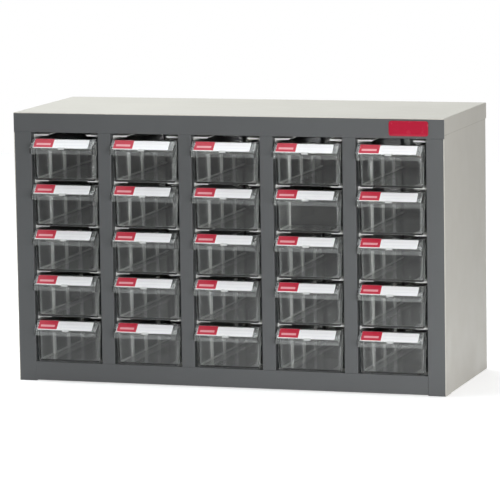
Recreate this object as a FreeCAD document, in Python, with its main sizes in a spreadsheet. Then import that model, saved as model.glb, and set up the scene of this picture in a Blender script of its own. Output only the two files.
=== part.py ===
"""A steel parts cabinet with five columns and five rows of clear pull-out drawers.

Millimetres. X runs along the width, Y from the front to the back, Z up. The origin is
under the middle of the whole cabinet, drawer lips included.
"""
import FreeCAD, Part
import os
import Sketcher
from FreeCAD import Placement, Rotation, Vector

COLUMNS = 5
ROWS = 5
DIVIDER_SLOTS = 3
DIVIDED_DRAWER = "r2c4"
SAME_PLACE = 0.001

# Driving sizes: name, millimetres, meaning.
SIZES = [
    ("cabinet_width", 586, "over the top cover"),
    ("cabinet_height", 358, "floor to top of cover"),
    ("cabinet_depth", 222, "front face of the frame to the rear of the cover"),
    ("sheet_thickness", 1, "all folded steel sheet"),
    ("bend_radius", 1.4, "outside of the cover's folds"),
    ("fold_radius", 0.7, "outside of the front frame's folds"),
    ("edge_flange", 15, "turned-in edges of the side and back panels"),
    ("cover_skirt", 21, "turned-down edge of the cover"),
    ("strip_depth", 26, "front strip of a side panel, over the post"),
    ("post_width", 24, "corner post and the strip beside it"),
    ("post_flange", 22, "outer flange of a corner post"),
    ("mullion_width", 18, "upright between two columns"),
    ("top_rail_height", 26, "top rail with the cover's edge"),
    ("bottom_rail_height", 26, "floor to the upper edge of the bottom rail"),
    ("frame_return", 10, "depth of the frame's folded returns"),
    ("runner_width", 20, "ledge that a drawer slides on"),
    ("runner_setback", 1, "runner behind the frame's returns"),
    ("runner_flange", 4.7, "side of a runner, turned down along the partition panel"),
    ("runner_tab", 2, "front edge of a runner, turned down"),
    ("tab_corner", 1.5, "cut corner of a front tab"),
    ("guide_drop", 3.5, "topmost runner below the top rail"),
    ("stop_lap", 5.2, "rear stop of a partition panel, into the column"),
    ("running_gap", 0.3, "between a drawer and what carries or stops it"),
    ("drawer_side_gap", 2.6, "tub to partition panel, at the rim"),
    ("drawer_headroom", 5, "rim to the runner above"),
    ("drawer_setback", 0.5, "front wall behind the frame's face"),
    ("rear_room", 8.5, "behind a closed drawer"),
    ("drawer_wall", 1.8, "moulded wall"),
    ("drawer_floor", 2, "moulded floor"),
    ("drawer_draft", 1.1, "narrowing of a tub from rim to underside, each side"),
    ("drawer_corner", 3.5, "outside of the long lower edges"),
    ("slot_pitch", 53.3, "front wall to the first slot, and slot to slot"),
    ("rib_depth", 2.2, "divider rib, proud of the side wall at the floor"),
    ("rib_thickness", 2.4, "divider rib"),
    ("rib_headroom", 21, "rim above the ribs"),
    ("divider_thickness", 1.5, "loose divider plate"),
    ("divider_clearance", 0.3, "plate to its slot and to the side walls"),
    ("divider_headroom", 19, "rim above the plate"),
    ("divider_corner", 3, "corners of the plate"),
    ("label_run", 11.5, "label slope, forward"),
    ("label_drop", 11.5, "label slope, down"),
    ("hood_overhang", 0.3, "label hood wider than the tub, each side"),
    ("lip_rise", 0.8, "lip and cheeks above the label slope"),
    ("lip_height", 7.2, "lip below the label slope"),
    ("cheek_drop", 3, "end cheek at the wall, below the lip"),
    ("nub_width", 9, "keeper on the lip"),
    ("nub_rise", 0.8, "keeper above the lip"),
    ("card_thickness", 0.5, "label card"),
    ("card_height", 14.2, "label card, up the slope"),
    ("card_edge_gap", 0.8, "card to the lip"),
    ("card_left_gap", 2.5, "card to the left cheek"),
    ("card_right_gap", 6.3, "card to the right cheek"),
    ("badge_width", 52, "plate on the top rail"),
    ("badge_height", 19.6, "plate on the top rail"),
    ("badge_thickness", 1.6, "plate on the top rail"),
    ("badge_corner", 3.5, "corner radius of the badge"),
    ("badge_bevel", 0.6, "front edge of the badge"),
    ("badge_inset", 20.6, "badge to the right end of the rail"),
    ("cut_overrun", 2, "cuts past an open face"),
]

# Expressions that several pieces share.
SHEET = "Sizes.sheet_thickness"
HEIGHT = "Sizes.cabinet_height"
DEPTH = "Sizes.cabinet_depth"
HALF_WIDTH = "(Sizes.cabinet_width / 2)"
GAP = "Sizes.running_gap"
RETURN = "Sizes.frame_return"
FLANGE = "Sizes.edge_flange"
WINDOW_TOP = "(Sizes.cabinet_height - Sizes.top_rail_height)"
WINDOW_BOTTOM = "Sizes.bottom_rail_height"
WINDOW_WIDTH = (
    f"((Sizes.cabinet_width - 2 * Sizes.post_width - {COLUMNS - 1} * Sizes.mullion_width)"
    f" / {COLUMNS})"
)
COLUMN_PITCH = f"({WINDOW_WIDTH} + Sizes.mullion_width)"
TOP_LEDGE = f"({WINDOW_TOP} - Sizes.guide_drop)"
ROW_PITCH = f"(({TOP_LEDGE} - {WINDOW_BOTTOM}) / {ROWS})"
JAMB = f"({WINDOW_WIDTH} / 2)"
STOP_Y = f"({DEPTH} - Sizes.rear_room + {GAP})"
LIP_REACH = "(Sizes.label_run + Sizes.drawer_wall - Sizes.drawer_setback)"
FACE_Y = f"(({LIP_REACH} - {DEPTH}) / 2)"

# Expressions of the drawer's own frame: underside at zero, front wall at zero.
WALL = "Sizes.drawer_wall"
FLOOR = "Sizes.drawer_floor"
DRAFT = "Sizes.drawer_draft"
TUB_HEIGHT = f"({ROW_PITCH} - Sizes.drawer_headroom - {GAP})"
TUB_LENGTH = f"({DEPTH} - Sizes.rear_room - Sizes.drawer_setback)"
RIM_HALF = f"({JAMB} - Sizes.drawer_side_gap)"
FOOT_HALF = f"({RIM_HALF} - {DRAFT})"
HOOD_HALF = f"({RIM_HALF} + Sizes.hood_overhang)"
CARD_LEFT = f"({HOOD_HALF} - {WALL} - Sizes.card_left_gap)"
CARD_RIGHT = f"({HOOD_HALF} - {WALL} - Sizes.card_right_gap)"
SLOPE_FOOT_Z = f"({TUB_HEIGHT} - Sizes.label_drop)"
SLOPE_LENGTH = "sqrt(Sizes.label_run ^ 2 + Sizes.label_drop ^ 2)"
SLOPE_DEPTH = f"({WALL} * {SLOPE_LENGTH} / Sizes.label_run)"
SLOT_HALF = "(Sizes.divider_thickness / 2 + Sizes.divider_clearance)"

doc = FreeCAD.newDocument("PartsCabinet")
sheet = doc.addObject("Spreadsheet::Sheet", "Sizes")
for row, (alias, value, meaning) in enumerate(SIZES, start=1):
    sheet.set(f"A{row}", alias)
    sheet.set(f"B{row}", str(value))
    sheet.setAlias(f"B{row}", alias)
    sheet.set(f"C{row}", meaning)
doc.recompute()


def size(expression):
    """The present value of an expression on the sheet."""
    return float(sheet.evalExpression(expression))


def inner_half(height):
    """Half the inside width of a tub at a height above its underside."""
    return f"({FOOT_HALF} - {WALL} + {DRAFT} * ({height}) / {TUB_HEIGHT})"


def column_x(column):
    """Middle of a column, counted from 1 at the left."""
    return f"({column - 1 - (COLUMNS - 1) / 2} * {COLUMN_PITCH})"


def ledge_z(level):
    """Top of the ledge under a row, level 0 being above the first row."""
    return f"({TOP_LEDGE} - {level} * {ROW_PITCH})"


def drawer_z(row):
    """Underside of the drawer in a row, counted from 1 at the top."""
    return f"({ledge_z(row)} + {GAP})"


def place(piece, x="0", y="0", z="0"):
    """Bind a piece's position to expressions."""
    for axis, expression in zip("xyz", (x, y, z)):
        piece.setExpression(f"Placement.Base.{axis}", expression)


def new_body(label):
    body = doc.addObject("PartDesign::Body", label)
    body.Label = label
    return body


def origin_plane(body, role):
    return next(item for item in body.Origin.OriginFeatures if item.Role == role)


def rectangle(x_low, y_low, x_high, y_high):
    return [(x_low, y_low), (x_high, y_low), (x_high, y_high), (x_low, y_high)]


def outline(body, name, role, loops, offset="0"):
    """A sketch of closed loops whose corners are bound to expressions."""
    sketch = body.newObject("Sketcher::SketchObject", name)
    sketch.AttachmentSupport = [(origin_plane(body, role), "")]
    sketch.MapMode = "FlatFace"
    sketch.setExpression("AttachmentOffset.Base.z", offset)
    for loop in loops:
        first = sketch.GeometryCount
        corners = [Vector(size(across), size(along), 0) for across, along in loop]
        for here, there in zip(corners, corners[1:] + corners[:1]):
            sketch.addGeometry(Part.LineSegment(here, there), False)
        for step, (across, along) in enumerate(loop):
            line = first + step
            following = first + (step + 1) % len(loop)
            sketch.addConstraint(Sketcher.Constraint("Coincident", line, 2, following, 1))
            for kind, expression in (("DistanceX", across), ("DistanceY", along)):
                index = sketch.addConstraint(
                    Sketcher.Constraint(kind, line, 1, size(expression))
                )
                sketch.setExpression(f"Constraints[{index}]", expression)
    return sketch


def pad(body, name, role, loops, length, offset="0", reverse=False, both_sides=False):
    """Raise an outline into solid."""
    feature = body.newObject("PartDesign::Pad", name)
    feature.Profile = outline(body, name + "_outline", role, loops, offset)
    feature.setExpression("Length", length)
    feature.Reversed = reverse
    feature.Midplane = both_sides
    doc.recompute()
    return feature


def pocket(body, name, role, loops, length, offset="0", reverse=False):
    """Cut an outline out of the solid so far, which has to lose volume."""
    before = body.Shape.Volume
    feature = body.newObject("PartDesign::Pocket", name)
    feature.Profile = outline(body, name + "_outline", role, loops, offset)
    feature.setExpression("Length", length)
    feature.Reversed = reverse
    doc.recompute()
    if body.Shape.Volume >= before:
        raise RuntimeError(f"{body.Label}: {name} cuts nothing")
    return feature


def round_edges(body, name, radius, wanted, kind="Fillet"):
    """Fillet or chamfer the edges of the solid so far that a test picks."""
    base = body.Tip
    edges = [f"Edge{n}" for n, edge in enumerate(base.Shape.Edges, start=1) if wanted(edge)]
    if not edges:
        raise RuntimeError(f"{body.Label}: {name} finds no edge")
    feature = body.newObject(f"PartDesign::{kind}", name)
    feature.Base = (base, edges)
    feature.setExpression("Radius" if kind == "Fillet" else "Size", radius)
    doc.recompute()
    return feature


def edge_along(axis, **at):
    """A test for straight edges along an axis that pass through given coordinates."""

    def test(edge):
        box = edge.BoundBox
        spans = {"x": box.XLength, "y": box.YLength, "z": box.ZLength}
        middle = {"x": box.Center.x, "y": box.Center.y, "z": box.Center.z}
        if any(spans[other] > SAME_PLACE for other in spans if other != axis):
            return False
        return all(
            any(abs(middle[name] - value) < SAME_PLACE for value in values)
            for name, values in at.items()
        )

    return test


def clone(source, label):
    """A second piece from the same tool, placed by itself."""
    body = doc.addObject("PartDesign::Body", label)
    body.Label = label
    feature = doc.addObject("PartDesign::FeatureBase", label + "_form")
    feature.BaseFeature = source
    body.Group = [feature]
    body.Tip = feature
    return body


def group(label, pieces):
    """Like pieces that share one node."""
    compound = doc.addObject("Part::Compound", label)
    compound.Label = label
    compound.Links = pieces
    return compound


def make_top_cover():
    body = new_body("top_cover")
    pad(body, "roof", "XY_Plane", [rectangle(f"-{HALF_WIDTH}", "0", HALF_WIDTH, DEPTH)],
        SHEET, offset=f"{HEIGHT} - {SHEET}")
    front, outer, inner = "Sizes.strip_depth", HALF_WIDTH, f"({HALF_WIDTH} - {SHEET})"
    skirt = [
        (f"-{outer}", front), (f"-{outer}", DEPTH), (outer, DEPTH), (outer, front),
        (inner, front), (inner, f"{DEPTH} - {SHEET}"),
        (f"-{inner}", f"{DEPTH} - {SHEET}"), (f"-{inner}", front),
    ]
    pad(body, "skirt", "XY_Plane", [skirt], f"Sizes.cover_skirt - {SHEET}",
        offset=f"{HEIGHT} - Sizes.cover_skirt")
    side = size(HALF_WIDTH)
    along_sides = edge_along("y", x=(-side, side), z=(size(HEIGHT),))
    along_back = edge_along("x", y=(size(DEPTH),), z=(size(HEIGHT),))
    round_edges(body, "folds", "Sizes.bend_radius",
                lambda edge: along_sides(edge) or along_back(edge))
    place(body, y=FACE_Y)
    return body


def make_side_panel(label, sign):
    """Folded sheet with turned-in top and bottom edges and a strip over the post."""
    body = new_body(label)
    outer = f"{HALF_WIDTH} - {SHEET}"
    inner = f"{outer} - {SHEET}"
    edge = f"{outer} - {FLANGE}"
    section = [
        (f"{sign}({outer})", "0"), (f"{sign}({outer})", f"{HEIGHT} - {SHEET}"),
        (f"{sign}({edge})", f"{HEIGHT} - {SHEET}"), (f"{sign}({edge})", f"{HEIGHT} - 2 * {SHEET}"),
        (f"{sign}({inner})", f"{HEIGHT} - 2 * {SHEET}"), (f"{sign}({inner})", SHEET),
        (f"{sign}({edge})", SHEET), (f"{sign}({edge})", "0"),
    ]
    pad(body, "panel", "XZ_Plane", [section], f"{DEPTH} - 2 * {SHEET} - Sizes.post_flange",
        offset="-Sizes.post_flange", reverse=True)
    strip = [
        ("0", "0"), ("Sizes.strip_depth", "0"), ("Sizes.strip_depth", f"{HEIGHT} - {SHEET}"),
        (SHEET, f"{HEIGHT} - {SHEET}"), (SHEET, WINDOW_TOP), ("0", WINDOW_TOP),
    ]
    pad(body, "strip", "YZ_Plane", [strip], SHEET,
        offset=f"{sign}({outer})", reverse=bool(sign))
    place(body, y=FACE_Y)
    return body


def make_back_panel():
    """Rear sheet behind the side panels, with flanges turned forward inside them."""
    body = new_body("back_panel")
    outer = f"({HALF_WIDTH} - {SHEET})"
    rear = f"({DEPTH} - {SHEET})"
    pad(body, "panel", "XZ_Plane", [rectangle(f"-{outer}", "0", outer, f"{HEIGHT} - {SHEET}")],
        SHEET, offset=f"-({rear} - {SHEET})", reverse=True)
    flange_outer = f"({outer} - {SHEET})"
    flange_inner = f"({flange_outer} - {SHEET})"
    flange_front = f"{rear} - {SHEET} - {FLANGE}"
    pad(body, "flanges", "XY_Plane",
        [rectangle(f"-{flange_outer}", flange_front, f"-{flange_inner}", rear),
         rectangle(flange_inner, flange_front, flange_outer, rear)],
        f"{HEIGHT} - 4 * {SHEET}", offset=f"2 * {SHEET}")
    place(body, y=FACE_Y)
    return body


def make_base_panel():
    """Sheet on the bottom flanges of the side panels, between the rail and the back."""
    body = new_body("base_panel")
    side = f"({HALF_WIDTH} - 2 * {SHEET})"
    pad(body, "panel", "XY_Plane",
        [rectangle(f"-{side}", RETURN, side, f"{DEPTH} - 2 * {SHEET}")], SHEET, offset=SHEET)
    place(body, y=FACE_Y)
    return body


def make_top_rail():
    """Channel across the whole front, whose face runs over the side panels' strips."""
    body = new_body("top_rail")
    top = f"({HEIGHT} - {SHEET})"
    section = [
        ("0", WINDOW_TOP), (RETURN, WINDOW_TOP), (RETURN, f"{WINDOW_TOP} + {SHEET}"),
        (SHEET, f"{WINDOW_TOP} + {SHEET}"), (SHEET, f"{top} - {SHEET}"),
        (RETURN, f"{top} - {SHEET}"), (RETURN, top), ("0", top),
    ]
    pad(body, "channel", "YZ_Plane", [section], f"2 * ({HALF_WIDTH} - {SHEET})", both_sides=True)
    pad(body, "face", "YZ_Plane", [rectangle("0", WINDOW_TOP, SHEET, top)],
        "Sizes.cabinet_width", both_sides=True)
    round_edges(body, "fold", "Sizes.fold_radius", edge_along("x", y=(0,), z=(size(WINDOW_TOP),)))
    place(body, y=FACE_Y)
    return body


def make_bottom_rail():
    """Channel between the posts, clear of the floor by one sheet."""
    body = new_body("bottom_rail")
    section = [
        ("0", SHEET), (RETURN, SHEET), (RETURN, f"2 * {SHEET}"), (SHEET, f"2 * {SHEET}"),
        (SHEET, f"{WINDOW_BOTTOM} - {SHEET}"), (RETURN, f"{WINDOW_BOTTOM} - {SHEET}"),
        (RETURN, WINDOW_BOTTOM), ("0", WINDOW_BOTTOM),
    ]
    pad(body, "channel", "YZ_Plane", [section],
        f"2 * ({HALF_WIDTH} - Sizes.post_width)", both_sides=True)
    heights = (size(SHEET), size(WINDOW_BOTTOM))
    round_edges(body, "folds", "Sizes.fold_radius", edge_along("x", y=(0,), z=heights))
    place(body, y=FACE_Y)
    return body


def make_post(label, sign):
    """Corner channel, its outer flange under the side panel's strip."""
    body = new_body(label)
    outer = f"({HALF_WIDTH} - {SHEET})"
    inner = f"({HALF_WIDTH} - Sizes.post_width)"
    section = [
        (f"{sign}{inner}", "0"), (f"{sign}{outer}", "0"),
        (f"{sign}{outer}", "Sizes.post_flange"), (f"{sign}({outer} - {SHEET})", "Sizes.post_flange"),
        (f"{sign}({outer} - {SHEET})", SHEET), (f"{sign}({inner} + {SHEET})", SHEET),
        (f"{sign}({inner} + {SHEET})", RETURN), (f"{sign}{inner}", RETURN),
    ]
    pad(body, "channel", "XY_Plane", [section], WINDOW_TOP)
    corner = size(f"{sign}{inner}")
    round_edges(body, "fold", "Sizes.fold_radius", edge_along("z", x=(corner,), y=(0,)))
    place(body, y=FACE_Y)
    return body


def make_mullion():
    """Channel between two columns."""
    body = new_body("mullion_1")
    half = "(Sizes.mullion_width / 2)"
    section = [
        (f"-{half}", "0"), (half, "0"), (half, RETURN), (f"{half} - {SHEET}", RETURN),
        (f"{half} - {SHEET}", SHEET), (f"{SHEET} - {half}", SHEET),
        (f"{SHEET} - {half}", RETURN), (f"-{half}", RETURN),
    ]
    pad(body, "channel", "XY_Plane", [section], f"{WINDOW_TOP} - {WINDOW_BOTTOM}")
    corners = (size(f"-{half}"), size(half))
    round_edges(body, "folds", "Sizes.fold_radius", edge_along("z", x=corners, y=(0,)))
    return body


def make_front_frame():
    mullions = [make_mullion()]
    mullions += [clone(mullions[0], f"mullion_{number}") for number in range(2, COLUMNS)]
    for number, mullion in enumerate(mullions, start=1):
        place(mullion, f"{column_x(number)} + {COLUMN_PITCH} / 2", FACE_Y, WINDOW_BOTTOM)
    posts = [make_post("left_post", "-"), make_post("right_post", "")]
    return group("front_frame", [make_top_rail(), make_bottom_rail()] + posts + mullions)


def make_partition_panel(label, sign):
    """Upright sheet beside a column, its rear edge turned in to stop the drawers."""
    body = new_body(label)
    section = [
        (f"{sign}{JAMB}", RETURN), (f"{sign}({JAMB} + {SHEET})", RETURN),
        (f"{sign}({JAMB} + {SHEET})", f"{STOP_Y} + {SHEET}"),
        (f"{sign}({JAMB} - Sizes.stop_lap)", f"{STOP_Y} + {SHEET}"),
        (f"{sign}({JAMB} - Sizes.stop_lap)", STOP_Y), (f"{sign}{JAMB}", STOP_Y),
    ]
    pad(body, "panel", "XY_Plane", [section], f"{HEIGHT} - 3 * {SHEET}")
    return body


def make_runner(label, sign):
    """Ledge fixed to a partition panel, with a tab turned down at its front."""
    body = new_body(label)
    front = f"({RETURN} + Sizes.runner_setback)"
    inner = f"({JAMB} - Sizes.runner_width)"
    flange, tab = "Sizes.runner_flange", "Sizes.runner_tab"
    section = [
        (f"{sign}{inner}", "0"), (f"{sign}{JAMB}", "0"), (f"{sign}{JAMB}", f"-{flange}"),
        (f"{sign}({JAMB} - {SHEET})", f"-{flange}"), (f"{sign}({JAMB} - {SHEET})", f"-{SHEET}"),
        (f"{sign}{inner}", f"-{SHEET}"),
    ]
    pad(body, "ledge", "XZ_Plane", [section], f"{STOP_Y} - {front}",
        offset=f"-{front}", reverse=True)
    front_edge = [
        (f"{sign}{inner}", "0"), (f"{sign}{JAMB}", "0"), (f"{sign}{JAMB}", f"-{tab}"),
        (f"{sign}({inner} + Sizes.tab_corner)", f"-{tab}"),
        (f"{sign}{inner}", f"-({tab} - Sizes.tab_corner)"),
    ]
    pad(body, "tab", "XZ_Plane", [front_edge], SHEET, offset=f"-{front}", reverse=True)
    return body


def make_inner_rack():
    """The partition panels, and the runners that they carry at every level."""
    panels, runners = [], []
    for side, sign in (("left", "-"), ("right", "")):
        first_panel = make_partition_panel(f"{side}_partition_1", sign)
        first_runner = make_runner(f"{side}_runner_1_0", sign)
        for column in range(1, COLUMNS + 1):
            panel = first_panel if column == 1 else clone(first_panel, f"{side}_partition_{column}")
            place(panel, column_x(column), FACE_Y, f"2 * {SHEET}")
            panels.append(panel)
            for level in range(ROWS + 1):
                name = f"{side}_runner_{column}_{level}"
                runner = first_runner if name == first_runner.Label else clone(first_runner, name)
                place(runner, column_x(column), FACE_Y, ledge_z(level))
                runners.append(runner)
    return [group("partition_panels", panels), group("drawer_runners", runners)]


def make_badge():
    """Plain raised plate on the right of the top rail."""
    body = new_body("badge_plate")
    half_width, half_height = "(Sizes.badge_width / 2)", "(Sizes.badge_height / 2)"
    pad(body, "plate", "XZ_Plane",
        [rectangle(f"-{half_width}", f"-{half_height}", half_width, half_height)],
        "Sizes.badge_thickness")
    corners = edge_along("y", x=(size(half_width), size(f"-{half_width}")))
    round_edges(body, "corners", "Sizes.badge_corner", corners)
    face = -size("Sizes.badge_thickness")
    round_edges(body, "front_edge", "Sizes.badge_bevel",
                lambda edge: edge.BoundBox.YMax < face + SAME_PLACE, kind="Chamfer")
    place(body, f"{HALF_WIDTH} - Sizes.badge_inset - {half_width}", FACE_Y,
          f"({WINDOW_TOP} + {HEIGHT}) / 2")
    return body


def make_drawer(label):
    """Clear moulded tub with a label hood, a finger lip and slots for divider plates."""
    body = new_body(label)
    tub = [
        (f"-{FOOT_HALF}", "0"), (FOOT_HALF, "0"), (RIM_HALF, TUB_HEIGHT), (f"-{RIM_HALF}", TUB_HEIGHT),
    ]
    pad(body, "tub", "XZ_Plane", [tub], TUB_LENGTH, reverse=True)
    foot = size(FOOT_HALF)
    round_edges(body, "lower_edges", "Sizes.drawer_corner",
                edge_along("y", x=(-foot, foot), z=(0,)))

    run, lip_top = "Sizes.label_run", f"{SLOPE_FOOT_Z} + Sizes.lip_rise"
    lip_bottom = f"{SLOPE_FOOT_Z} - Sizes.lip_height"
    hood = [
        (WALL, TUB_HEIGHT), ("0", TUB_HEIGHT), (f"-{run}", SLOPE_FOOT_Z), (f"-{run}", lip_top),
        (f"-({run} + {WALL})", lip_top), (f"-({run} + {WALL})", lip_bottom),
        (f"-{run}", lip_bottom), (f"-{run}", f"{SLOPE_FOOT_Z} - {SLOPE_DEPTH}"),
        ("0", f"{TUB_HEIGHT} - {SLOPE_DEPTH}"), (WALL, f"{TUB_HEIGHT} - {SLOPE_DEPTH}"),
    ]
    pad(body, "hood", "YZ_Plane", [hood], f"2 * {HOOD_HALF}", both_sides=True)

    cheek = [
        ("0", TUB_HEIGHT), (f"-{run}", lip_top), (f"-{run}", lip_bottom),
        ("0", f"{lip_bottom} - Sizes.cheek_drop"),
    ]
    pad(body, "right_cheek", "YZ_Plane", [cheek], WALL, offset=f"{HOOD_HALF} - {WALL}")
    pad(body, "left_cheek", "YZ_Plane", [cheek], WALL, offset=f"-{HOOD_HALF}")

    nub = rectangle(f"-({run} + {WALL})", lip_top, f"-{run}", f"{lip_top} + Sizes.nub_rise")
    pad(body, "nub", "YZ_Plane", [nub], "Sizes.nub_width", both_sides=True)

    above = f"{TUB_HEIGHT} + Sizes.cut_overrun"
    low, high = inner_half(FLOOR), inner_half(above)
    cavity = [(f"-{low}", FLOOR), (low, FLOOR), (high, above), (f"-{high}", above)]
    pocket(body, "cavity", "XZ_Plane", [cavity], f"{TUB_LENGTH} - 2 * {WALL}",
           offset=f"-{WALL}", reverse=False)

    root = f"({RIM_HALF} - {WALL})"
    tip = f"({low} - Sizes.rib_depth)"
    ribs = []
    for slot in range(1, DIVIDER_SLOTS + 1):
        middle = f"{slot} * Sizes.slot_pitch"
        for beside in "-+":
            edge = f"{middle} {beside} {SLOT_HALF}"
            end = f"{middle} {beside} ({SLOT_HALF} + Sizes.rib_thickness)"
            ribs.append(rectangle(f"-{root}", edge, f"-{tip}", end))
            ribs.append(rectangle(tip, edge, root, end))
    pad(body, "ribs", "XY_Plane", ribs, f"{TUB_HEIGHT} - {FLOOR} - Sizes.rib_headroom",
        offset=FLOOR)
    return body


def make_label_card(label):
    """Card on the label slope, between the rim and the lip."""
    card = doc.addObject("Part::Box", label)
    card.Label = label
    card.setExpression("Length", f"{CARD_LEFT} + {CARD_RIGHT}")
    card.setExpression("Width", "Sizes.card_height")
    card.setExpression("Height", "Sizes.card_thickness")
    return card


def place_label_card(card, column, row):
    share = f"(Sizes.card_edge_gap / {SLOPE_LENGTH})"
    card.Placement = Placement(Vector(), Rotation(Vector(1, 0, 0), 0))
    card.setExpression("Placement.Rotation.Angle", "atan(Sizes.label_drop / Sizes.label_run)")
    place(
        card,
        f"{column_x(column)} - {CARD_LEFT}",
        f"{FACE_Y} + Sizes.drawer_setback - Sizes.label_run * (1 - {share})",
        f"{drawer_z(row)} + {SLOPE_FOOT_Z} + Sizes.label_drop * {share}",
    )


def make_divider(label, column, row):
    """Loose plate in the front slot of one drawer, narrowing with the side walls."""
    body = new_body(label)
    top = f"({TUB_HEIGHT} - Sizes.divider_headroom)"
    bottom = f"({FLOOR} + {GAP})"
    half_bottom = f"({inner_half(bottom)} - Sizes.divider_clearance)"
    half_top = f"({inner_half(top)} - Sizes.divider_clearance)"
    plate = [(f"-{half_bottom}", bottom), (half_bottom, bottom), (half_top, top), (f"-{half_top}", top)]
    pad(body, "plate", "XZ_Plane", [plate], "Sizes.divider_thickness", both_sides=True)
    round_edges(body, "corners", "Sizes.divider_corner", edge_along("y"))
    place(body, column_x(column), f"{FACE_Y} + Sizes.drawer_setback + Sizes.slot_pitch",
          drawer_z(row))
    return body


def make_drawers():
    """The same drawer and card in every column and row, and one divider plate."""
    drawers, cards = [], []
    for row in range(1, ROWS + 1):
        for column in range(1, COLUMNS + 1):
            name = f"drawer_r{row}c{column}"
            drawer = clone(drawers[0], name) if drawers else make_drawer(name)
            place(drawer, column_x(column), f"{FACE_Y} + Sizes.drawer_setback", drawer_z(row))
            drawers.append(drawer)
            card = make_label_card(f"label_r{row}c{column}")
            place_label_card(card, column, row)
            cards.append(card)
            if name.endswith(DIVIDED_DRAWER):
                divider = make_divider(f"divider_{DIVIDED_DRAWER}", column, row)
    return drawers + cards + [divider]


nodes = [
    make_top_cover(),
    make_side_panel("left_side_panel", "-"),
    make_side_panel("right_side_panel", ""),
    make_back_panel(),
    make_base_panel(),
    make_front_frame(),
    make_badge(),
]
nodes += make_inner_rack()
nodes += make_drawers()
doc.recompute()

for item in doc.Objects:
    if "Invalid" in item.State or "Error" in item.State:
        raise RuntimeError(f"{item.Label} is {item.State}")
for node in nodes:
    if node.Shape.isNull() or not node.Shape.isValid() or not node.Shape.Solids:
        raise RuntimeError(f"{node.Label} has no valid shape")

os.makedirs("parts", exist_ok=True)
for node in nodes:
    node.Shape.exportStep(f"parts/{node.Label}.step")
print(f"{len(nodes)} nodes written")
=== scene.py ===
import math
import bmesh
import bpy
from mathutils import Matrix, Vector


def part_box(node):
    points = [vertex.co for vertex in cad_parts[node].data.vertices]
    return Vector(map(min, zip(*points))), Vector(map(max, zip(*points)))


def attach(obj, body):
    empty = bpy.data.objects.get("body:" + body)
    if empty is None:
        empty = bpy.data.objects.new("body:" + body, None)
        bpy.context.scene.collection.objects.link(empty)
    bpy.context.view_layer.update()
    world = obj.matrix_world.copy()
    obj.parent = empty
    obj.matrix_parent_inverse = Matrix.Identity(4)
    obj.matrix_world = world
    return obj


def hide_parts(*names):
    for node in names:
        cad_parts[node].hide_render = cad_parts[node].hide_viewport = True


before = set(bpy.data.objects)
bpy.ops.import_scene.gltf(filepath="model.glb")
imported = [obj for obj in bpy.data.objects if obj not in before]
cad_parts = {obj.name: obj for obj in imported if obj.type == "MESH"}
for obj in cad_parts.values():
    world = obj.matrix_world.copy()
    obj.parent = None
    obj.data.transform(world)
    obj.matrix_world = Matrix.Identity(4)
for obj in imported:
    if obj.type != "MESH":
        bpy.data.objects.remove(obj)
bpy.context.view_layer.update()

MM = 0.001
# Two places are the same within this.
CLOSE = 0.01 * MM
# How far a solid runs into the one that it is welded to.
LAP = 0.3 * MM

# The moulded drawer, from its own front wall, underside and middle.
# Here and below, a value named EASE is how far an edge is rounded.
TUB_LENGTH = 213 * MM
TUB_HEIGHT = 55.2 * MM
RIM_HALF = 44 * MM
FOOT_HALF = 42.9 * MM
WALL = 1.8 * MM
FLOOR = 2 * MM
LOWER_CORNER = 3.5 * MM
INNER_CORNER = 4.2 * MM
SLOT_PITCH = 53.3 * MM
SLOT_HALF = 1.05 * MM
RIB = 2.4 * MM
RIB_DEPTH = 2.2 * MM
RIB_HEADROOM = 21 * MM
INNER_FILLET = 1.5 * MM
END_OUTLINE = 0.9 * MM
RIM_EASE = 0.25 * MM
RIM_FOOT = TUB_HEIGHT - 0.3 * MM
RIB_EASE = 0.6 * MM

# Fine ridges along the drawer's floor.
RIDGE_STEPS = 6
RIDGE_PITCH = 5.5 * MM
RIDGE_HALF = 0.9 * MM
RIDGE_HEIGHT = 0.12 * MM
RIDGE_EASE = 0.1 * MM
# How far their ends go into the walls, and their undersides into the floor.
RIDGE_END = 0.7 * MM
RIDGE_ROOT = 0.37 * MM

# The label hood with its lip, cheeks and keeper, which stands out from the lip by its rise.
RUN = 11.5 * MM
SLOPE_FOOT = TUB_HEIGHT - RUN
HOOD_HALF = 44.3 * MM
LIP_TOP = SLOPE_FOOT + 0.8 * MM
LIP_BOTTOM = SLOPE_FOOT - 7.2 * MM
CHEEK_FOOT = LIP_BOTTOM - 3 * MM
CHEEK_TOP = TUB_HEIGHT - 0.04 * MM
CHEEK_LAP = 0.6 * MM
CHEEK_EASE = 0.35 * MM
SLOPE_LAP = 0.05 * MM
LIP_EASE = 0.45 * MM
KEEPER_HALF = 4.5 * MM
KEEPER_FOOT = LIP_TOP - 2.2 * MM
KEEPER_TOP = LIP_TOP + 0.8 * MM
KEEPER_RISE = 0.12 * MM
KEEPER_EASE = 0.5 * MM

# The label card on the slope, across and up the slope.
CARD_LEFT = -40 * MM
CARD_RIGHT = 36.2 * MM
CARD_LOW = 0.8 * MM
CARD_HIGH = 15 * MM
CARD_CORNER = 0.7 * MM
CARD_EASE = 0.08 * MM

# Above the slope: the card's top, and the underside and top of what is printed on it.
CARD_TOP = 0.36 * MM
FIELD_DEPTH = (0.1 * MM, 0.42 * MM)
BAR_DEPTH = (0.38 * MM, 0.46 * MM)
LINE_DEPTH = (0.34 * MM, 0.37 * MM)

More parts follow.
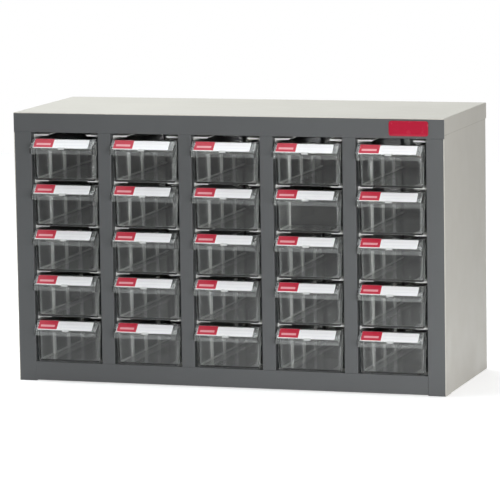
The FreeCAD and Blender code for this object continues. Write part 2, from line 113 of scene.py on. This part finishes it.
# The printed red field, the bar on it and the two lines beside it.
FIELD_LEFT = CARD_LEFT + 0.2 * MM
FIELD_RIGHT = CARD_LEFT + 26.8 * MM
FIELD_LOW = CARD_LOW + 1 * MM
FIELD_HIGH = CARD_HIGH + 0.8 * MM
FIELD_CORNER = 0.6 * MM
BAR_LEFT = CARD_LEFT + 3.4 * MM
BAR_RIGHT = CARD_LEFT + 23.2 * MM
BAR_LOW = CARD_LOW + 4.8 * MM
BAR_HIGH = CARD_LOW + 8 * MM
BAR_CORNER = 0.5 * MM
LINE_LEFT = CARD_LEFT + 30 * MM
LINE_RIGHT = CARD_RIGHT - 2 * MM
LINE_WIDTH = 0.4 * MM
LINE_HEIGHTS = (CARD_LOW + 4.6 * MM, CARD_LOW + 9.2 * MM)

# The badge: its corners, front edge, rim, the step inside the rim and how deep it is.
BADGE_CORNER = 3.5 * MM
BADGE_EASE = 0.5 * MM
BADGE_RIM = 1.1 * MM
BADGE_STEP = 0.35 * MM
BADGE_SUNK = 0.3 * MM

# The painted shadow line under the cover's edge: how far below the edge, half its width, and how
# dark.
SEAM_SHADOW_BELOW = 0.6 * MM
SEAM_SHADOW_HALF = 0.8 * MM
SEAM_SHADOW_DEPTH = 2.2

# The darkest and the lightest tone of the pale sheets, and their least and most roughness.
PALE_TONES = ((0.565, 0.54, 0.485), (0.605, 0.58, 0.525))
SHEET_GLOSS = (0.42, 0.55)

# Clear plastic, seen along a wall and across the lip and corners.
CLEAR = (0.93, 0.94, 0.93)
CLEAR_THICK = (0.9, 0.92, 0.91)
CLEAR_IOR = 1.33

# The range that most of a grain's values are in.
GRAIN_LOW = 0.3
GRAIN_HIGH = 0.7

# The camera: degrees to the right, down and over, the lens, and the place in metres.
CAMERA_YAW = 17.8
CAMERA_PITCH = 7.82
CAMERA_ROLL = -0.92
CAMERA_LENS = 256.2
CAMERA_PLACE = (1.4307, -4.4619, 0.8117)

# The studio's strength away from direct view, and its share in glossy reflections.
STUDIO_DIM = 0.3
STUDIO_IN_GLOSS = 0.3

# The ground's own glow, seen directly and in glossy reflections close to the cabinet.
GROUND_GLOW = 0.55
POOL_GLOW = 1.2

# The drawer's finishes, in the order of its material slots.
DRAWER_FINISHES = ("drawer_clear", "drawer_edges", "drawer_lip", "drawer_corner", "drawer_ridge")

DRAWERS = [f"r{row}c{column}" for row in range(1, 6) for column in range(1, 6)]


def same(a, b):
    """Whether two places along an axis are the same."""
    return abs(a - b) < CLOSE


def extent(edge, axis):
    """How far an edge goes along an axis, 0 for X, 1 for Y, 2 for Z."""
    return abs(edge.verts[0].co[axis] - edge.verts[1].co[axis])


def level_at(edge, height):
    """Whether an edge lies at one height."""
    return all(same(v.co.z, height) for v in edge.verts)


def upright(edge):
    """Whether an edge goes straight up."""
    return extent(edge, 0) < CLOSE and extent(edge, 1) < CLOSE


def only(piece):
    """Leave one piece selected and active."""
    bpy.ops.object.select_all(action="DESELECT")
    piece.select_set(True)
    bpy.context.view_layer.objects.active = piece


def pick(piece, kind, test):
    """Open a piece in edit mode with the vertices, edges or faces that a test takes."""
    if bpy.context.mode == "OBJECT":
        only(piece)
        bpy.ops.object.mode_set(mode="EDIT")
    bpy.ops.mesh.select_mode(type=kind)
    bpy.ops.mesh.select_all(action="DESELECT")
    mesh = bmesh.from_edit_mesh(piece.data)
    items = {"VERT": mesh.verts, "EDGE": mesh.edges, "FACE": mesh.faces}[kind]
    for item in items:
        if test(item):
            item.select_set(True)
    bmesh.update_edit_mesh(piece.data)


def close():
    """Leave edit mode."""
    bpy.ops.object.mode_set(mode="OBJECT")


def block(name, low, high):
    """A block between two corners, the start of a piece."""
    bpy.ops.object.select_all(action="DESELECT")
    low, high = Vector(low), Vector(high)
    bpy.ops.mesh.primitive_cube_add(size=1, location=(low + high) / 2, scale=high - low)
    piece = bpy.context.active_object
    piece.name = name
    piece.data.name = name
    bpy.ops.object.transform_apply(location=True, rotation=True, scale=True)
    return piece


def ease(piece, width, segments, test=lambda edge: True):
    """Round the edges of a piece that a test takes, or all of them."""
    pick(piece, "EDGE", test)
    bpy.ops.mesh.bevel(offset=width, segments=segments, affect="EDGES", clamp_overlap=True)
    close()


def join(pieces, name):
    """One object of separate solids."""
    bpy.ops.object.select_all(action="DESELECT")
    for piece in pieces:
        piece.select_set(True)
    bpy.context.view_layer.objects.active = pieces[0]
    bpy.ops.object.join()
    pieces[0].name = name
    pieces[0].data.name = name
    return pieces[0]


def weld(piece, other):
    """Merge another solid into a piece."""
    only(piece)
    union = piece.modifiers.new("weld", "BOOLEAN")
    union.operation = "UNION"
    union.solver = "EXACT"
    union.object = other
    bpy.ops.object.modifier_apply(modifier=union.name)
    bpy.data.objects.remove(other, do_unlink=True)


def smooth(piece, angle=35):
    """Smooth shading across rounded edges only, with flat faces left flat."""
    only(piece)
    bpy.ops.object.shade_smooth_by_angle(angle=math.radians(angle))
    even = piece.modifiers.new("even", "WEIGHTED_NORMAL")
    even.keep_sharp = True
    even.weight = 100
    bpy.ops.object.modifier_apply(modifier=even.name)


def copy_to(piece, name, place):
    """A copy with its own mesh, moved to a place."""
    copy = piece.copy()
    copy.data = piece.data.copy()
    copy.name = name
    copy.data.name = name
    copy.data.transform(Matrix.Translation(place))
    bpy.context.scene.collection.objects.link(copy)
    return copy


def model_tub():
    """Drafted tub, hollowed from the top, with rounded moulded edges."""
    tub = block("drawer", (-RIM_HALF, 0, 0), (RIM_HALF, TUB_LENGTH, TUB_HEIGHT))
    pick(tub, "VERT", lambda v: same(v.co.z, 0))
    bpy.ops.transform.resize(value=(FOOT_HALF / RIM_HALF, 1, 1), center_override=(0, 0, 0))
    pick(tub, "FACE", lambda f: f.normal.z > 0.9)
    bpy.ops.mesh.inset(thickness=WALL, depth=0)
    bpy.ops.mesh.extrude_region_move(TRANSFORM_OT_translate={"value": (0, 0, FLOOR - TUB_HEIGHT)})
    inner = RIM_HALF - WALL
    draft = (RIM_HALF - FOOT_HALF) * (1 - FLOOR / TUB_HEIGHT)
    bpy.ops.transform.resize(value=((inner - draft) / inner, 1, 1), center_override=(0, 0, 0))
    close()

    def long_lower(e):
        return (all(same(v.co.z, 0) and same(abs(v.co.x), FOOT_HALF) for v in e.verts)
                and e.verts[0].co.x * e.verts[1].co.x > 0)

    def inner_upright(e):
        middle = (e.verts[0].co + e.verts[1].co) / 2
        return (abs(middle.x) < RIM_HALF - WALL + CLOSE
                and WALL - CLOSE < middle.y < TUB_LENGTH - WALL + CLOSE
                and extent(e, 2) > FLOOR)

    ease(tub, LOWER_CORNER, 6, long_lower)
    ease(tub, INNER_CORNER, 5, inner_upright)
    ease(tub, INNER_FILLET, 3, lambda e: level_at(e, FLOOR))

    def end_outline(e):
        at_an_end = any(all(same(v.co.y, end) for v in e.verts) for end in (0, TUB_LENGTH))
        return at_an_end and not level_at(e, TUB_HEIGHT)

    def rim_edge(e):
        return (level_at(e, TUB_HEIGHT) and len(e.link_faces) == 2
                and any(f.normal.z < 0.5 for f in e.link_faces))

    ease(tub, END_OUTLINE, 3, end_outline)
    ease(tub, RIM_EASE, 2, rim_edge)
    return tub


def model_hood():
    """Label slope, lip, cheeks and keeper, each still its own solid."""
    slope = block("slope", (-HOOD_HALF + LAP, -RUN - LAP, TUB_HEIGHT - WALL * math.sqrt(2)),
                  (HOOD_HALF - LAP, SLOPE_LAP, TUB_HEIGHT - CLOSE))
    pick(slope, "VERT", lambda v: v.co.y < -RUN)
    bpy.ops.transform.translate(value=(0, 0, -RUN - LAP))
    close()

    lip = block("lip", (-HOOD_HALF, -RUN - WALL + KEEPER_RISE, LIP_BOTTOM),
                (HOOD_HALF, -RUN, LIP_TOP))
    ease(lip, LIP_EASE, 3)

    keeper = block("keeper", (-KEEPER_HALF, -RUN - WALL, KEEPER_FOOT),
                   (KEEPER_HALF, -RUN - KEEPER_RISE, KEEPER_TOP))
    ease(keeper, KEEPER_EASE, 3, lambda e: all(v.co.z > LIP_TOP for v in e.verts))

    cheeks = []
    for side in (-1, 1):
        edge, root = side * HOOD_HALF, side * (HOOD_HALF - WALL)
        cheek = block("cheek", (min(edge, root), -RUN - CHEEK_LAP, CHEEK_FOOT),
                      (max(edge, root), CHEEK_LAP, CHEEK_TOP))
        pick(cheek, "VERT", lambda v: v.co.y < -RUN and v.co.z > SLOPE_FOOT)
        bpy.ops.transform.translate(value=(0, 0, LIP_TOP - LAP - TUB_HEIGHT))
        pick(cheek, "VERT", lambda v: v.co.y < -RUN and v.co.z < LIP_BOTTOM)
        bpy.ops.transform.translate(value=(0, 0, LIP_BOTTOM + LAP - CHEEK_FOOT))
        close()
        ease(cheek, CHEEK_EASE, 2, lambda e: extent(e, 0) < CLOSE and extent(e, 1) > RUN)
        cheeks.append(cheek)
    return [slope, lip, keeper, join(cheeks, "cheeks")]


def inner_half(height):
    """Half the tub's inside width at a height."""
    return FOOT_HALF - WALL + (RIM_HALF - FOOT_HALF) * height / TUB_HEIGHT


def model_ribs():
    """Pairs of ribs on the side walls, each pair a slot for a divider plate."""
    ribs = []
    tip, root = inner_half(FLOOR) - RIB_DEPTH, RIM_HALF - WALL
    for slot in (1, 2, 3):
        for beside in (-1, 1):
            near = slot * SLOT_PITCH + beside * SLOT_HALF
            far = near + beside * RIB
            for side in (-1, 1):
                left, right = sorted((side * tip, side * root))
                rib = block("slot_rib", (left, min(near, far), FLOOR - LAP),
                            (right, max(near, far), TUB_HEIGHT - RIB_HEADROOM))
                ease(rib, RIB_EASE, 3, lambda e: extent(e, 2) > FLOOR
                     and all(abs(v.co.x) < tip + CLOSE for v in e.verts))
                ribs.append(rib)
    return join(ribs, "ribs")


def model_ridges():
    """Fine moulded ridges along the floor, their ends in the front and rear walls."""
    ridges = []
    for step in range(-RIDGE_STEPS, RIDGE_STEPS + 1):
        middle = step * RIDGE_PITCH
        ridge = block("ridge", (middle - RIDGE_HALF, WALL - RIDGE_END, FLOOR - RIDGE_ROOT),
                      (middle + RIDGE_HALF, TUB_LENGTH - WALL + RIDGE_END, FLOOR + RIDGE_HEIGHT))
        ease(ridge, RIDGE_EASE, 1, lambda e: all(v.co.z > FLOOR for v in e.verts))
        ridges.append(ridge)
    return join(ridges, "ridges")


def model_drawer():
    """One drawer, its parts welded together and its finishes given by place."""
    drawer = model_tub()
    for solid in model_hood():
        weld(drawer, solid)
    weld(drawer, model_ribs())
    weld(drawer, model_ridges())
    smooth(drawer)
    drawer.data.materials.clear()
    for finish in DRAWER_FINISHES:
        drawer.data.materials.append(FINISHES[finish])

    def on_a_rib(f):
        middle = f.calc_center_median()
        return (FLOOR + RIDGE_HEIGHT + CLOSE < middle.z < TUB_HEIGHT - RIB_HEADROOM + CLOSE
                and abs(middle.x) < inner_half(middle.z) - CLOSE
                and WALL + INNER_CORNER < middle.y < TUB_LENGTH - WALL - INNER_CORNER)

    def on_the_lip(f):
        middle = f.calc_center_median()
        return middle.y < -RUN + CLOSE or middle.z > RIM_FOOT

    def at_the_corner(f):
        middle = f.calc_center_median()
        inside = (WALL + CLOSE < middle.y < WALL + INNER_CORNER
                  and FLOOR + INNER_FILLET < middle.z
                  and abs(f.normal.x) > 0.1 and abs(f.normal.y) > 0.1)
        outline = CLOSE < middle.y < END_OUTLINE and middle.z < RIM_FOOT and f.normal.y < -0.1
        return inside or outline

    def on_a_ridge(f):
        middle = f.calc_center_median()
        return (FLOOR + CLOSE < middle.z < FLOOR + RIDGE_HEIGHT + CLOSE
                and abs(middle.x) < (RIDGE_STEPS + 0.5) * RIDGE_PITCH
                and WALL + 2 * MM < middle.y < TUB_LENGTH - WALL - 2 * MM)

    def on_the_keeper(f):
        middle = f.calc_center_median()
        proud = middle.y < -RUN - WALL + KEEPER_RISE - CLOSE
        return (abs(middle.x) < KEEPER_HALF + CLOSE and middle.y < -RUN
                and (middle.z > LIP_TOP or proud))

    for finish, test in (("drawer_edges", on_a_rib), ("drawer_lip", on_the_lip),
                         ("drawer_corner", at_the_corner), ("drawer_ridge", on_a_ridge),
                         ("drawer_edges", on_the_keeper)):
        pick(drawer, "FACE", test)
        drawer.active_material_index = DRAWER_FINISHES.index(finish)
        bpy.ops.object.material_slot_assign()
        close()
    return drawer


def model_label():
    """Card with a printed red field and a plain pale bar, lying on the label slope."""
    card = block("label", (CARD_LEFT, CARD_LOW, 0), (CARD_RIGHT, CARD_HIGH, CARD_TOP))
    ease(card, CARD_CORNER, 3, upright)
    ease(card, CARD_EASE, 2, lambda e: level_at(e, CARD_TOP))
    field = block("field", (FIELD_LEFT, FIELD_LOW, FIELD_DEPTH[0]),
                  (FIELD_RIGHT, FIELD_HIGH, FIELD_DEPTH[1]))
    ease(field, FIELD_CORNER, 3, upright)
    bar = block("bar", (BAR_LEFT, BAR_LOW, BAR_DEPTH[0]), (BAR_RIGHT, BAR_HIGH, BAR_DEPTH[1]))
    ease(bar, BAR_CORNER, 2, upright)
    lines = [block("line", (LINE_LEFT, height, LINE_DEPTH[0]),
                   (LINE_RIGHT, height + LINE_WIDTH, LINE_DEPTH[1]))
             for height in LINE_HEIGHTS]
    for piece, finish in ((card, "label_paper"), (field, "label_red"), (bar, "label_bar"),
                          (lines[0], "label_line"), (lines[1], "label_line")):
        piece.data.materials.append(FINISHES[finish])
    label = join([card, field, bar, *lines], "label")
    label.rotation_euler.x = math.radians(45)
    label.location = (0, -RUN, SLOPE_FOOT)
    only(label)
    bpy.ops.object.transform_apply(location=True, rotation=True, scale=True)
    return label


def model_badge():
    """Bare plate with rounded corners, a raised rim and a soft front edge."""
    low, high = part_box("badge_plate")
    badge = block("badge", low, high)
    ease(badge, BADGE_CORNER, 6, lambda e: extent(e, 1) > 1 * MM)
    ease(badge, BADGE_EASE, 3, lambda e: all(same(v.co.y, low[1]) for v in e.verts))
    pick(badge, "FACE", lambda f: f.normal.y < -0.99 and f.calc_area() > 1e-4)
    bpy.ops.mesh.inset(thickness=BADGE_RIM, depth=0)
    bpy.ops.mesh.inset(thickness=BADGE_STEP, depth=-BADGE_SUNK)
    close()
    smooth(badge, 40)
    badge.data.materials.append(FINISHES["badge_red"])
    return badge


def new_finish(name):
    """A new material with its node tree, shader and object coordinates."""
    finish = bpy.data.materials.new(name)
    finish.use_nodes = True
    tree = finish.node_tree
    place = tree.nodes.new("ShaderNodeTexCoord")
    return finish, tree, tree.nodes["Principled BSDF"], place.outputs["Object"]


def stretched(tree, place, stretch, shift=(0, 0, 0)):
    """Coordinates stretched along each axis and moved."""
    lay = tree.nodes.new("ShaderNodeMapping")
    lay.inputs["Location"].default_value = shift
    lay.inputs["Scale"].default_value = stretch
    tree.links.new(place, lay.inputs["Vector"])
    return lay.outputs["Vector"]


def along(tree, place, axis):
    """One of the three coordinates."""
    parts = tree.nodes.new("ShaderNodeSeparateXYZ")
    tree.links.new(place, parts.inputs["Vector"])
    return parts.outputs[axis]


def noise(tree, place, scale, detail=4, stretch=None):
    """Grain at a number of cells per metre, drawn out along an axis where asked."""
    grain = tree.nodes.new("ShaderNodeTexNoise")
    grain.inputs["Scale"].default_value = scale
    grain.inputs["Detail"].default_value = detail
    if stretch:
        place = stretched(tree, place, stretch)
    tree.links.new(place, grain.inputs["Vector"])
    return grain.outputs["Fac"]


def span(tree, grain, low=0, high=1):
    """A grain's middle range turned into a range of its own."""
    ranged = tree.nodes.new("ShaderNodeMapRange")
    ranged.inputs["From Min"].default_value = GRAIN_LOW
    ranged.inputs["From Max"].default_value = GRAIN_HIGH
    ranged.inputs["To Min"].default_value = low
    ranged.inputs["To Max"].default_value = high
    tree.links.new(grain, ranged.inputs["Value"])
    return ranged.outputs["Result"]


def reckon(tree, operation, first, second):
    """Sum, product or other result of two numbers or sockets."""
    result = tree.nodes.new("ShaderNodeMath")
    result.operation = operation
    for socket, value in zip(result.inputs, (first, second)):
        if isinstance(value, (int, float)):
            socket.default_value = value
        else:
            tree.links.new(value, socket)
    return result.outputs[0]


def tint(tree, shader, value, dark, light):
    """Colour the shader between two tones, by a value."""
    blend = tree.nodes.new("ShaderNodeMix")
    blend.data_type = "RGBA"
    blend.inputs["A"].default_value = (*dark, 1)
    blend.inputs["B"].default_value = (*light, 1)
    tree.links.new(value, blend.inputs["Factor"])
    tree.links.new(blend.outputs["Result"], shader.inputs["Base Color"])
    return blend


def roughen(tree, shader, grain, low, high):
    """Roughness between two values, by a grain."""
    tree.links.new(span(tree, grain, low, high), shader.inputs["Roughness"])


def relief(tree, shader, grain, strength, distance):
    """Fine bumps and hollows, by a grain."""
    bump = tree.nodes.new("ShaderNodeBump")
    bump.inputs["Strength"].default_value = strength
    bump.inputs["Distance"].default_value = distance
    tree.links.new(grain, bump.inputs["Height"])
    tree.links.new(bump.outputs["Normal"], shader.inputs["Normal"])


def bake_on(tree, shader, place, gloss_low, gloss_high):
    """The wandering gloss and the orange peel of baked paint."""
    roughen(tree, shader, noise(tree, place, 40), gloss_low, gloss_high)
    relief(tree, shader, noise(tree, place, 620, 3), 0.16, 0.12 * MM)


def powder_coat(name, dark, light, gloss_low, gloss_high, shaded_seam=None):
    """Baked paint on sheet steel, faintly cloudy, with a painted shadow line below a seam."""
    finish, tree, shader, place = new_finish(name)
    shade = span(tree, noise(tree, place, 5))
    # Painted shadow: a thin band just under the seam is darkened where shade falls under the
    # cover's edge.
    if shaded_seam:
        in_shadow_line = reckon(tree, "COMPARE", along(tree, place, "Z"), shaded_seam - SEAM_SHADOW_BELOW)
        in_shadow_line.node.inputs[2].default_value = SEAM_SHADOW_HALF
        shade = reckon(tree, "SUBTRACT", shade, reckon(tree, "MULTIPLY", in_shadow_line, SEAM_SHADOW_DEPTH))
    # Unclamped, so that the painted shadow below the seam can be darker than the darkest tone.
    tint(tree, shader, shade, dark, light).clamp_factor = not shaded_seam
    bake_on(tree, shader, place, gloss_low, gloss_high)
    return finish


def coat_shaded_inside(name, inner, outer, split):
    """Pale paint outside, with the side that faces the drawers, in front of a plane, painted dark
    as painted shade.
    """
    finish, tree, shader, place = new_finish(name)
    tint(tree, shader, reckon(tree, "GREATER_THAN", along(tree, place, "Y"), split), inner, outer)
    bake_on(tree, shader, place, *SHEET_GLOSS)
    return finish


def moulded_clear(name, colour, haze):
    """Clear moulded plastic with flow marks and fine handling haze."""
    finish, tree, shader, place = new_finish(name)
    shader.inputs["Base Color"].default_value = (*colour, 1)
    shader.inputs["Transmission Weight"].default_value = 1 - haze
    shader.inputs["IOR"].default_value = CLEAR_IOR
    roughen(tree, shader, noise(tree, place, 90, stretch=(1, 1, 0.25)), 0.01, 0.05)
    relief(tree, shader, noise(tree, place, 40, 2, (1, 1, 0.3)), 0.03, 0.2 * MM)
    return finish


def printed(name, dark, light, gloss):
    """Printed or bare card with a fine fibre."""
    finish, tree, shader, place = new_finish(name)
    fibre = noise(tree, place, 900)
    tint(tree, shader, span(tree, fibre), dark, light)
    shader.inputs["Roughness"].default_value = gloss
    shader.inputs["Specular IOR Level"].default_value = 0.3
    relief(tree, shader, fibre, 0.1, 0.05 * MM)
    return finish


def glossy_plastic(name, dark, light):
    """Opaque glossy moulding."""
    finish, tree, shader, place = new_finish(name)
    tint(tree, shader, span(tree, noise(tree, place, 30)), dark, light)
    roughen(tree, shader, noise(tree, place, 120), 0.18, 0.3)
    shader.inputs["Specular IOR Level"].default_value = 0.35
    relief(tree, shader, noise(tree, place, 200, 2), 0.06, 0.1 * MM)
    return finish


def place_camera():
    """Long lens from the right and a little above, level with the photograph."""
    yaw, pitch, roll = (math.radians(a) for a in (CAMERA_YAW, CAMERA_PITCH, CAMERA_ROLL))
    forward = Vector((-math.sin(yaw) * math.cos(pitch), math.cos(yaw) * math.cos(pitch),
                      -math.sin(pitch)))
    level = Vector((math.cos(yaw), math.sin(yaw), 0))
    upright = level.cross(forward)
    right = math.cos(roll) * level + math.sin(roll) * upright
    up = right.cross(forward)
    data = bpy.data.cameras.new("photo_view")
    data.sensor_width = 36
    data.lens = CAMERA_LENS
    data.clip_end = 60
    camera = bpy.data.objects.new("photo_view", data)
    bpy.context.scene.collection.objects.link(camera)
    turn = Matrix((right, up, -forward)).transposed().to_4x4()
    camera.matrix_world = Matrix.Translation(Vector(CAMERA_PLACE)) @ turn
    bpy.context.scene.camera = camera


def softbox(name, place, aim, width, height, power, colour):
    """A large soft lamp turned towards a point."""
    data = bpy.data.lights.new(name, "AREA")
    data.color = colour
    data.shape = "RECTANGLE"
    data.size = width
    data.size_y = height
    data.energy = power
    lamp = bpy.data.objects.new(name, data)
    bpy.context.scene.collection.objects.link(lamp)
    lamp.location = place
    lamp.rotation_euler = (Vector(aim) - Vector(place)).to_track_quat("-Z", "Y").to_euler()


def ray_kinds(tree):
    """Two switches: seen directly or through clear plastic, and seen in gloss."""
    ray = tree.nodes.new("ShaderNodeLightPath").outputs
    seen = reckon(tree, "MAXIMUM", ray["Is Camera Ray"], ray["Is Transmission Ray"])
    return seen, ray["Is Glossy Ray"]


def lay_floor():
    """Plain pale ground that keeps the shadow, with a glow that gloss shows near the cabinet."""
    bpy.ops.object.select_all(action="DESELECT")
    bpy.ops.mesh.primitive_plane_add(size=5, location=(0, 0, -0.2 * MM))
    floor = bpy.context.active_object
    floor.name = "floor"
    finish, tree, shader, place = new_finish("floor")
    shader.inputs["Base Color"].default_value = (0.8, 0.8, 0.8, 1)
    shader.inputs["Roughness"].default_value = 0.9
    shader.inputs["Specular IOR Level"].default_value = 0
    shader.inputs["Emission Color"].default_value = (1, 1, 1, 1)
    pool = tree.nodes.new("ShaderNodeTexGradient")
    pool.gradient_type = "SPHERICAL"
    lay = stretched(tree, place, (0.8, 0.8, 0.8), (-0.2, 0.15, 0))
    tree.links.new(lay, pool.inputs["Vector"])
    seen, gloss = ray_kinds(tree)
    pooled = reckon(tree, "MULTIPLY", gloss, pool.outputs["Fac"])
    glow = reckon(tree, "MAXIMUM", reckon(tree, "MULTIPLY", seen, GROUND_GLOW),
                  reckon(tree, "MULTIPLY", pooled, POOL_GLOW))
    tree.links.new(glow, shader.inputs["Emission Strength"])
    floor.data.materials.append(finish)


def hang_lamps():
    """White studio, dimmer away from direct view, with a lamp above and one before the front."""
    world = bpy.data.worlds.new("studio")
    bpy.context.scene.world = world
    world.use_nodes = True
    tree = world.node_tree
    background = tree.nodes["Background"]
    background.inputs["Color"].default_value = (1, 1, 1, 1)
    level = tree.nodes.new("ShaderNodeMapRange")
    level.inputs["To Min"].default_value = STUDIO_DIM
    level.inputs["To Max"].default_value = 1
    seen, gloss = ray_kinds(tree)
    weaker = reckon(tree, "MULTIPLY", gloss, STUDIO_IN_GLOSS)
    tree.links.new(reckon(tree, "MAXIMUM", seen, weaker), level.inputs["Value"])
    tree.links.new(level.outputs["Result"], background.inputs["Strength"])
    softbox("top_box", (-0.8, 0.3, 2.4), (0, 0, 0.3), 2.4, 1.8, 66, (0.93, 0.98, 1))
    softbox("front_box", (0.85, -1.4, 0.1), (0, 0, 0.16), 1.0, 0.9, 22, (1, 1, 1))


# Each finish: what makes it, its tones, and its gloss or haze.
LOOKS = {
    "pale_paint": (powder_coat, *PALE_TONES, *SHEET_GLOSS),
    # The side panels' paint, with a painted shadow line under the top cover's lower edge.
    "side_paint_shaded_seam": (powder_coat, *PALE_TONES, *SHEET_GLOSS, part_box("top_cover")[0][2]),
    # The frame's own dark paint, also used as painted shade on the partition panels inside the
    # cabinet.
    "dark_paint": (powder_coat, (0.076, 0.079, 0.081), (0.087, 0.091, 0.094), 0.4, 0.52),
    # The back panel: pale outer face, with its inner face painted dark as painted shade inside
    # the cabinet.
    "back_paint_shaded_inside": (coat_shaded_inside, (0.08, 0.084, 0.086), (0.58, 0.565, 0.52),
                   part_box("back_panel")[1][1] - 0.5 * MM),
    "runner_zinc": (powder_coat, (0.8, 0.8, 0.78), (0.87, 0.87, 0.85), 0.35, 0.5),
    "badge_red": (glossy_plastic, (0.395, 0.003, 0.028), (0.45, 0.004, 0.035)),
    "drawer_clear": (moulded_clear, CLEAR, 0.006),
    "drawer_edges": (moulded_clear, CLEAR, 0.55),
    "drawer_lip": (moulded_clear, CLEAR_THICK, 0.05),
    "drawer_ridge": (moulded_clear, CLEAR, 0.3),
    "drawer_corner": (moulded_clear, CLEAR_THICK, 0.11),
    "divider_clear": (moulded_clear, (0.05, 0.045, 0.035), 0.12),
    "label_paper": (printed, (0.92, 0.92, 0.93), (0.97, 0.97, 0.98), 0.45),
    "label_red": (printed, (0.5, 0.004, 0.03), (0.56, 0.007, 0.04), 0.4),
    "label_line": (printed, (0.74, 0.75, 0.78), (0.8, 0.81, 0.84), 0.45),
    "label_bar": (printed, (0.74, 0.3, 0.34), (0.8, 0.36, 0.4), 0.4),
}
FINISHES = {name: make(name, *values) for name, (make, *values) in LOOKS.items()}

# The solids of the CAD part that are seen as they are, and the finish of each.
CARRIED_OVER = {
    "top_cover": "pale_paint",
    # The side panels' finish holds a painted shadow line under the cover's edge.
    "left_side_panel": "side_paint_shaded_seam",
    "right_side_panel": "side_paint_shaded_seam",
    # The back panel's inner face is painted dark as painted shade.
    "back_panel": "back_paint_shaded_inside",
    "base_panel": "dark_paint",
    "front_frame": "dark_paint",
    # The partition panels take the dark paint as painted shade, so that the inside of the cabinet
    # reads dark.
    "partition_panels": "dark_paint",
    "drawer_runners": "runner_zinc",
    "divider_r2c4": "divider_clear",
}

place_camera()
lay_floor()
hang_lamps()

for name, finish in CARRIED_OVER.items():
    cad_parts[name].data.materials.clear()
    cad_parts[name].data.materials.append(FINISHES[finish])

badge = model_badge()
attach(badge, "cabinet")
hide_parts("badge_plate")

drawer_model = model_drawer()
label_model = model_label()
for key in DRAWERS:
    low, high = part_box(f"drawer_{key}")
    place = Vector(((low[0] + high[0]) / 2, low[1] + RUN + WALL, low[2]))
    drawer = copy_to(drawer_model, f"clear_drawer_{key}", place)
    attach(drawer, f"bin_{key}")
    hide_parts(f"drawer_{key}")
    label = copy_to(label_model, f"label_card_{key}", place)
    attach(label, f"bin_{key}")
    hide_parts(f"label_{key}")
bpy.data.objects.remove(drawer_model, do_unlink=True)
bpy.data.objects.remove(label_model, do_unlink=True)

bpy.context.scene.view_settings.view_transform = "Standard"
